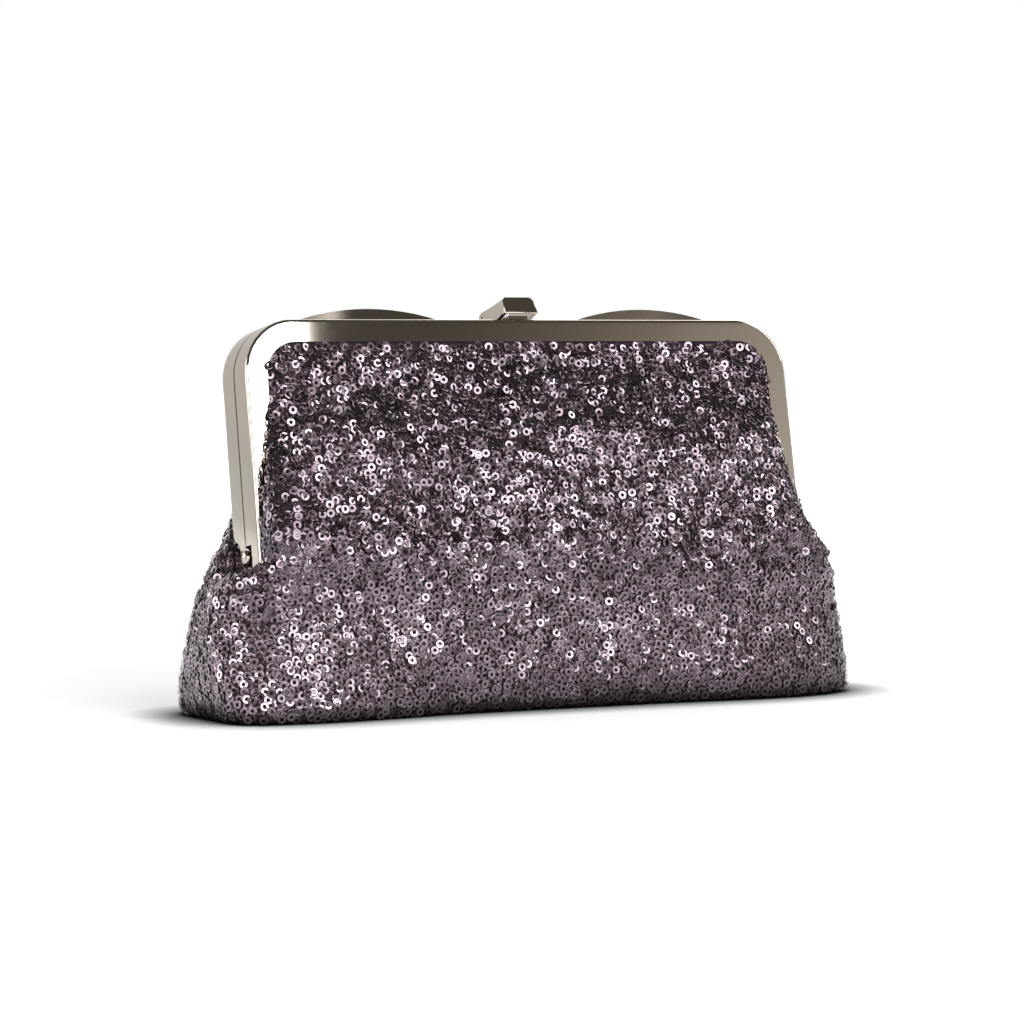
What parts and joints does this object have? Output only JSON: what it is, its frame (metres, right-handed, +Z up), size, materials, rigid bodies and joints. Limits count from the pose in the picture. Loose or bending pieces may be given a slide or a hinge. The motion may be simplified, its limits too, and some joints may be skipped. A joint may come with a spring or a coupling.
{
  "type": "clutch bag",
  "caption": "Evening clutch with a soft sequinned pouch, a hinged two-part metal frame and a lift lever clasp on top.",
  "frame": {"origin": "middle of the flat base, on the surface that the clutch stands on", "axes": "+X along the width, to the right as seen from the front; the front faces -Y; +Z up. The closed frame leans back towards +Y"},
  "size_m": [0.2486, 0.0575, 0.1321],
  "materials": {
    "nickel": "polished nickel plate",
    "hinge_brass": "plain",
    "spring_steel": "drawn wire",
    "sequin_cloth": "mauve grey ring sequins sewn on dark knitted cloth",
    "satin_lining": "satin weave",
    "felt_padding": "needled felt",
    "paper_cord": "twisted paper",
    "grey_board": "pressed grey board"
  },
  "bodies": {
    "pouch": {"base_shell": "sequin_cloth", "base_board": "grey_board", "pouch_padding": "felt_padding", "lining_tub": "satin_lining", "front_belly": "sequin_cloth", "rear_belly": "sequin_cloth", "front_belly_lining": "satin_lining", "rear_belly_lining": "satin_lining", "left_hinge_rivet": "nickel", "right_hinge_rivet": "nickel", "left_hinge_washer": "hinge_brass", "right_hinge_washer": "hinge_brass"},
    "front_half": {"front_frame": "nickel", "front_paper_cord": "paper_cord", "front_panel": "sequin_cloth", "front_lining": "satin_lining", "clasp_catch": "nickel", "catch_rivet_left": "nickel", "catch_rivet_right": "nickel"},
    "rear_half": {"rear_frame": "nickel", "rear_paper_cord": "paper_cord", "rear_panel": "sequin_cloth", "rear_lining": "satin_lining", "clasp_bracket": "nickel", "clasp_axle": "nickel", "clasp_spring": "spring_steel", "bracket_rivet_left": "nickel", "bracket_rivet_right": "nickel"},
    "lever": {"clasp_lever": "nickel"}
  },
  "joints": [
    {"name": "front_half_hinge", "type": "hinge", "parent": "pouch", "child": "front_half", "pos_m": [0, 0.0031, 0.0495], "axis": [1, 0, 0], "range_deg": [0, 32], "deforming": ["front_belly", "front_belly_lining"]},
    {"name": "rear_half_hinge", "type": "hinge", "parent": "pouch", "child": "rear_half", "pos_m": [0, 0.0031, 0.0495], "axis": [-1, 0, 0], "range_deg": [0, 32], "deforming": ["rear_belly", "rear_belly_lining"]},
    {"name": "lever_hinge", "type": "hinge", "parent": "rear_half", "child": "lever", "pos_m": [0, 0.02303, 0.12509], "axis": [-1, 0, 0], "range_deg": [0, 40], "stiffness_Nm_per_rad": 0.01, "springref_deg": -14.32}
  ]
}
